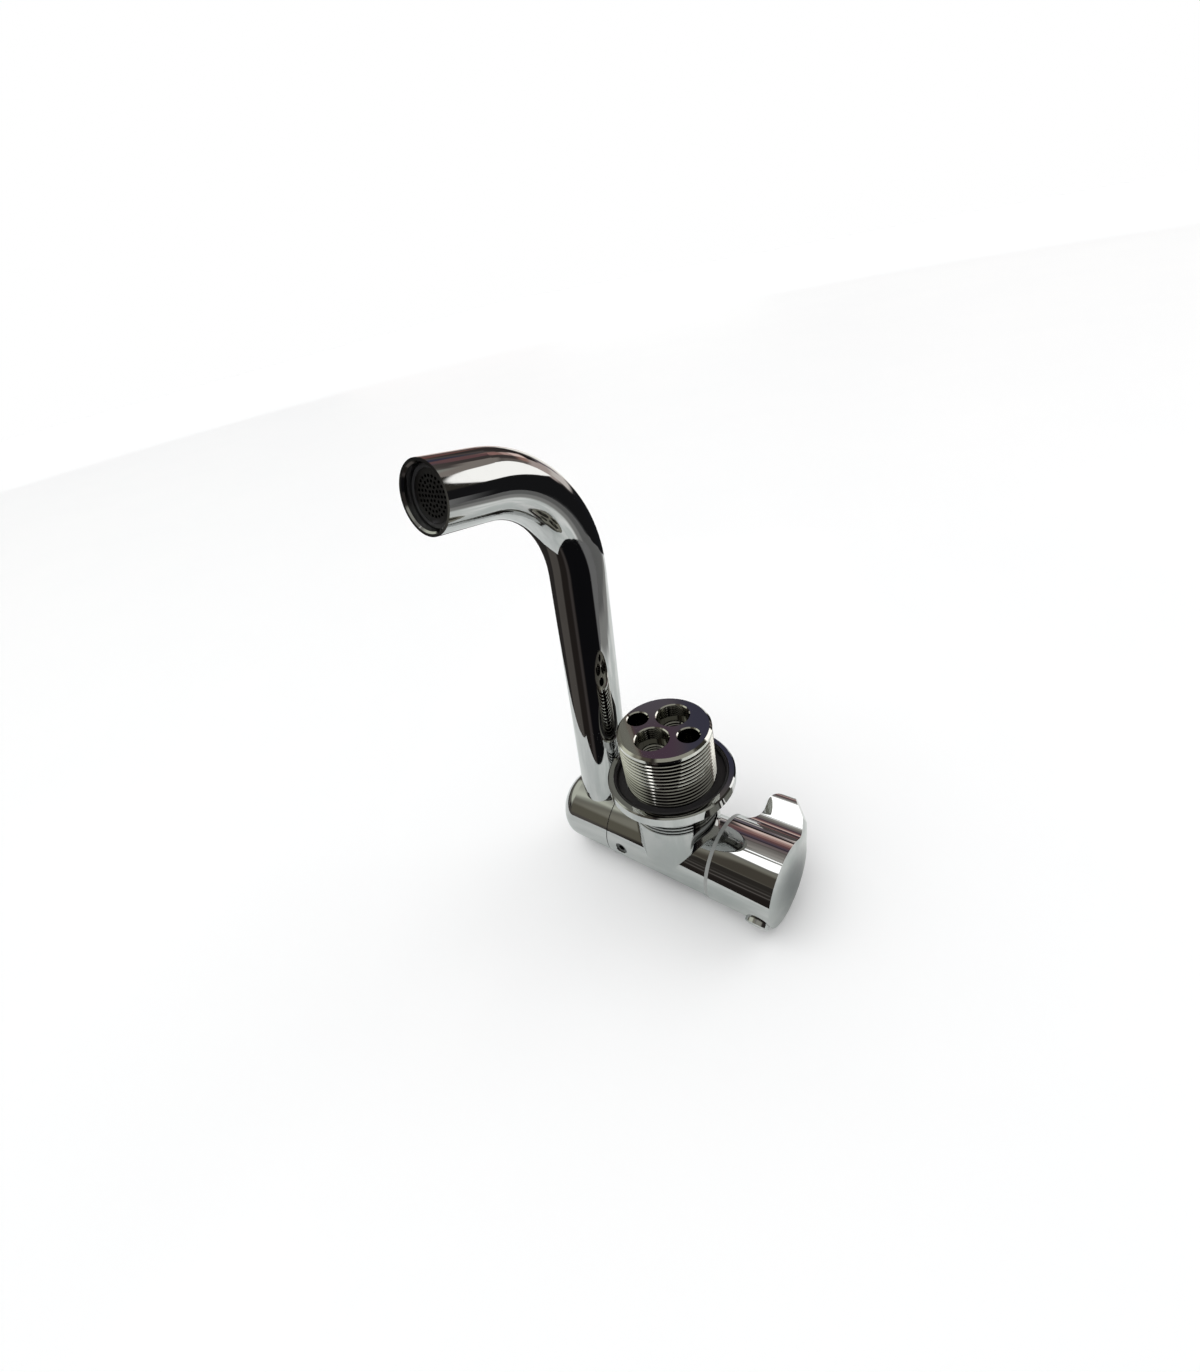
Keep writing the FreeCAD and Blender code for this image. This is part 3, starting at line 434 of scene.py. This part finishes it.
# what the metal mirrors above and beyond the table: each zone is (softness, colour, corners), with the
# corners as (azimuth, elevation) in degrees, counterclockwise, laid over the zones before it; azimuth
# is 90 at +X and 180 at +Y, and runs from 60 to 420, so that no zone ends at the seam
ZONES = [
    # ceiling
    (6.0, (0.24, 0.235, 0.22), box(60, 420, 50, 95)),
    (5.0, (0.42, 0.42, 0.39), box(60, 420, 75, 95)),
    (6.0, (0.34, 0.34, 0.30), box(366, 420, 28, 75)),
    (6.0, (0.34, 0.34, 0.30), box(60, 104, 28, 75)),
    (4.0, (0.33, 0.33, 0.30), box(104, 176, 37, 75)),
    (4.0, (0.135, 0.12, 0.11), box(180, 248, 44, 71)),
    # room on the spout's side
    (8.0, (0.66, 0.68, 0.58), box(250, 314, 10, 56)),
    (5.0, (0.16, 0.155, 0.135), box(240, 312, -12, 12)),
    (8.0, (0.27, 0.26, 0.215), box(317, 345, 14, 60)),
    (5.0, (0.14, 0.13, 0.10), box(318, 345, -8, 22)),
    (4.0, (0.085, 0.075, 0.06), box(331, 354, 27, 52)),
    (1.2, (0.035, 0.031, 0.027), box(336, 358, -6, 27)),
    (1.0, (0.020, 0.019, 0.018), box(299.5, 309, -6, 9.5)),
    (0.8, (0.055, 0.050, 0.045), box(336, 358, 13, 15.5)),
    (0.8, (0.105, 0.095, 0.088), box(336, 358, 6, 9)),
    (0.8, (0.120, 0.108, 0.100), box(336, 358, -2.5, 0.5)),
    # below the table's edge, from the spout's side round the front to the handle's
    (5.0, (0.030, 0.027, 0.026), box(250, 290, -70, -4)),
    (4.0, (0.100, 0.090, 0.082), box(290, 331, -70, -4)),
    (4.0, (0.022, 0.018, 0.016), box(331, 357, -70, -4)),
    (2.5, (0.060, 0.052, 0.050), box(359, 368, -70, -4)),
    (3.0, (0.006, 0.006, 0.007), box(371, 420, -70, -4)),
    (2.0, (0.006, 0.006, 0.007), box(60, 100, -70, -4)),
    # dark room behind the tap
    (3.0, (0.040, 0.037, 0.031), box(100, 150, 4, 37)),
    (2.0, (0.012, 0.012, 0.013), box(100, 171, -60, 8)),
    (3.0, (0.10, 0.085, 0.080), box(170, 250, -8, 46)),
    (1.5, (0.012, 0.012, 0.014), [(165, -60), (212, -60), (209, -8), (204, -3), (190, -1.2), (165, -1)]),
    (2.0, (0.165, 0.080, 0.072), box(204, 232, 16, 29)),
    (3.0, (0.40, 0.24, 0.20), box(178, 197, 18, 31)),
    (3.0, (0.20, 0.175, 0.16), box(163, 178, 20, 35)),
    (2.5, (0.070, 0.058, 0.055), box(178, 196, 25, 44)),
    (1.2, (0.30, 0.265, 0.24), [(148, 32.5), (180, 36), (180, 43), (150, 41)]),
    # pale wall and furniture
    (2.0, (0.56, 0.47, 0.44), box(166, 194, 4, 19.5)),
    (1.5, (0.80, 0.74, 0.70), box(174, 206, -1, 9)),
    (2.0, (1.10, 1.08, 1.02), [(204, -4), (212, -14), (232, -14), (226, 4), (222, 10), (214, 12),
                               (204, 9)]),
    (2.0, (0.72, 0.60, 0.56), box(222, 240, -8, 9)),
    (2.0, (0.16, 0.14, 0.165), box(194, 200, 3, 13.5)),
    (1.2, (0.022, 0.020, 0.020), [(199, 15), (216, 15), (222, 17.5), (222, 21), (199, 21)]),
    (0.8, (0.012, 0.010, 0.010), box(190, 201, 13.8, 19.2)),
    (1.0, (1.00, 0.78, 0.71), box(190, 200, 19.8, 26.5)),
    (1.5, (0.62, 0.42, 0.375), box(190, 200, 26.5, 31.5)),
    (1.5, (0.045, 0.038, 0.036), box(201.5, 222, 21, 30)),
    (1.5, (0.38, 0.21, 0.19), box(190, 203, 31.5, 37)),
    (1.5, (0.18, 0.095, 0.10), box(192, 207, 37, 43)),
    (1.5, (0.12, 0.085, 0.115), box(194, 208, 43, 47)),
    (1.0, (0.055, 0.040, 0.060), box(196, 209, 47, 50.5)),
    (1.5, (0.23, 0.185, 0.185), box(198, 212, 51, 56.5)),
    (3.0, (0.25, 0.23, 0.215), box(204, 225, 59, 68)),
    (3.0, (0.38, 0.355, 0.33), box(214, 240, 66, 73)),
    (2.0, (0.50, 0.48, 0.45), box(230, 252, 72, 77)),
    (2.0, (0.050, 0.050, 0.080), box(207, 216, 34, 46)),
    (1.5, (0.080, 0.050, 0.078), box(216, 222.5, 39.5, 48)),
    (1.5, (0.100, 0.090, 0.115), box(216, 222.5, 33, 39.5)),
    (2.0, (0.050, 0.045, 0.050), box(222.5, 240, 30, 50)),
    # window
    (0.5, (1.58, 1.56, 1.52), [(133.5, 9), (170, 8.2), (170.5, 24), (168, 31), (163, 36), (155, 36.6),
                               (149, 34.6), (143.8, 31.2), (139.3, 26.8), (136.3, 22), (134.9, 17.5),
                               (134, 13)]),
    # low patch on the handle's side
    (3.0, (0.20, 0.20, 0.20), box(90, 128, -36, -12)),
    # ceiling lamp
    (1.2, (2.2, 2.2, 2.2), [(283, 62.5), (329, 62.5), (329, 67), (312, 79), (283, 79)]),
    (1.0, (2.0, 2.0, 2.0), box(258, 268, 72.5, 79)),
]


def surround_material():
    b = Build("surround")
    x, y, z = b.xyz(b.place())
    turn = b.product(b.math("ARCTAN2", x, b.product(y, -1.0)), DEGREES)
    azimuth = b.math("ADD", b.math("MODULO", b.math("ADD", turn, 2 * TURN - SEAM), TURN), SEAM)
    elevation = b.product(b.math("ARCSINE", b.math("DIVIDE", z, SURROUND_RADIUS)), DEGREES)
    color = SURROUND_COLOR
    for soft, tone, corners in ZONES:
        mask = 1.0
        for (x0, y0), (x1, y1) in zip(corners, corners[1:] + corners[:1]):
            if x0 == x1 and x0 in (SEAM, SEAM + TURN):
                continue
            length = math.hypot(x1 - x0, y1 - y0)
            across = (y0 - y1) / length
            along = (x1 - x0) / length
            inward = b.math("MULTIPLY_ADD", azimuth, across, -(across * x0 + along * y0))
            inward = b.math("MULTIPLY_ADD", elevation, along, inward)
            mask = b.product(b.rise(inward, -soft, soft), mask)
        color = b.mix(mask, color, tone)
    glow = b.node("ShaderNodeEmission")
    b.link(color, glow.inputs["Color"])
    b.link(glow.outputs[0], b.out.inputs["Surface"])
    return b.material


def surround():
    """A glowing sphere around the scene that only the metal sees."""
    made = bmesh.new()
    bmesh.ops.create_uvsphere(made, u_segments=SURROUND_SEGMENTS, v_segments=SURROUND_RINGS,
                              radius=SURROUND_RADIUS)
    mesh = bpy.data.meshes.new("surround")
    made.to_mesh(mesh)
    made.free()
    mesh.materials.append(surround_material())
    for face in mesh.polygons:
        face.use_smooth = True
    card = bpy.data.objects.new("surround", mesh)
    bpy.context.scene.collection.objects.link(card)
    only_reflected(card)


surround()


def lamp(name, azimuth, elevation, spread, strength):
    """Wide soft lamp far away, in degrees; the metal reflects the cards in its place."""
    a = math.radians(azimuth)
    e = math.radians(elevation)
    way = Vector((math.sin(a) * math.cos(e), -math.cos(a) * math.cos(e), math.sin(e)))
    light = bpy.data.lights.new(name, "SUN")
    light.angle = math.radians(spread)
    light.energy = strength
    holder = bpy.data.objects.new(name, light)
    holder.location = way
    holder.rotation_euler = way.to_track_quat("Z", "Y").to_euler()
    holder.visible_glossy = False
    bpy.context.scene.collection.objects.link(holder)


lamp("ceiling_lamp", azimuth=300, elevation=66, spread=50, strength=0.9)
lamp("window_lamp", azimuth=150, elevation=32, spread=40, strength=0.4)
lamp("front_lamp", azimuth=20, elevation=50, spread=50, strength=0.3)

WORLD_LIGHT = 0.62
WORLD_SEEN = 1.0


def set_world():
    """White all round: at full strength where the camera, a mirror or glass shows it, dimmer as light."""
    world = bpy.data.worlds.new("studio")
    bpy.context.scene.world = world
    world.use_nodes = True
    tree = world.node_tree
    tree.nodes.clear()
    path = tree.nodes.new("ShaderNodeLightPath")
    seen = path.outputs["Is Camera Ray"]
    for ray in ("Is Glossy Ray", "Is Transmission Ray"):
        either = tree.nodes.new("ShaderNodeMath")
        either.operation = "MAXIMUM"
        tree.links.new(seen, either.inputs[0])
        tree.links.new(path.outputs[ray], either.inputs[1])
        seen = either.outputs[0]
    level = tree.nodes.new("ShaderNodeMapRange")
    level.inputs["To Min"].default_value = WORLD_LIGHT
    level.inputs["To Max"].default_value = WORLD_SEEN
    ground = tree.nodes.new("ShaderNodeBackground")
    ground.inputs["Color"].default_value = (1.0, 1.0, 1.0, 1.0)
    out = tree.nodes.new("ShaderNodeOutputWorld")
    tree.links.new(seen, level.inputs["Value"])
    tree.links.new(level.outputs["Result"], ground.inputs["Strength"])
    tree.links.new(ground.outputs[0], out.inputs["Surface"])


set_world()

# the photograph's camera, fitted to the tap's outlines: where it stands, the ways that the picture's
# right, its lower side and its depth run, and its lens in millimetres
CAMERA_AT = (0.094896154, -0.121731288, 0.150505107)
CAMERA_RIGHT = Vector((0.787691385, 0.587465611, -0.185543627))
CAMERA_DOWN = Vector((0.231010838, -0.560848481, -0.795036461))
CAMERA_FORWARD = Vector((-0.571118442, 0.583380782, -0.577486440))
LENS = 15.8664
SENSOR = 36.0


def set_camera():
    lens = bpy.data.cameras.new("photo_camera")
    lens.lens = LENS
    lens.sensor_width = SENSOR
    lens.clip_start = 0.005
    lens.clip_end = 20.0
    camera = bpy.data.objects.new("photo_camera", lens)
    turn = Matrix((CAMERA_RIGHT, -CAMERA_DOWN, -CAMERA_FORWARD)).transposed().to_4x4()
    camera.matrix_world = Matrix.Translation(CAMERA_AT) @ turn
    bpy.context.scene.collection.objects.link(camera)
    bpy.context.scene.camera = camera


set_camera()
bpy.context.scene.view_settings.view_transform = "Standard"
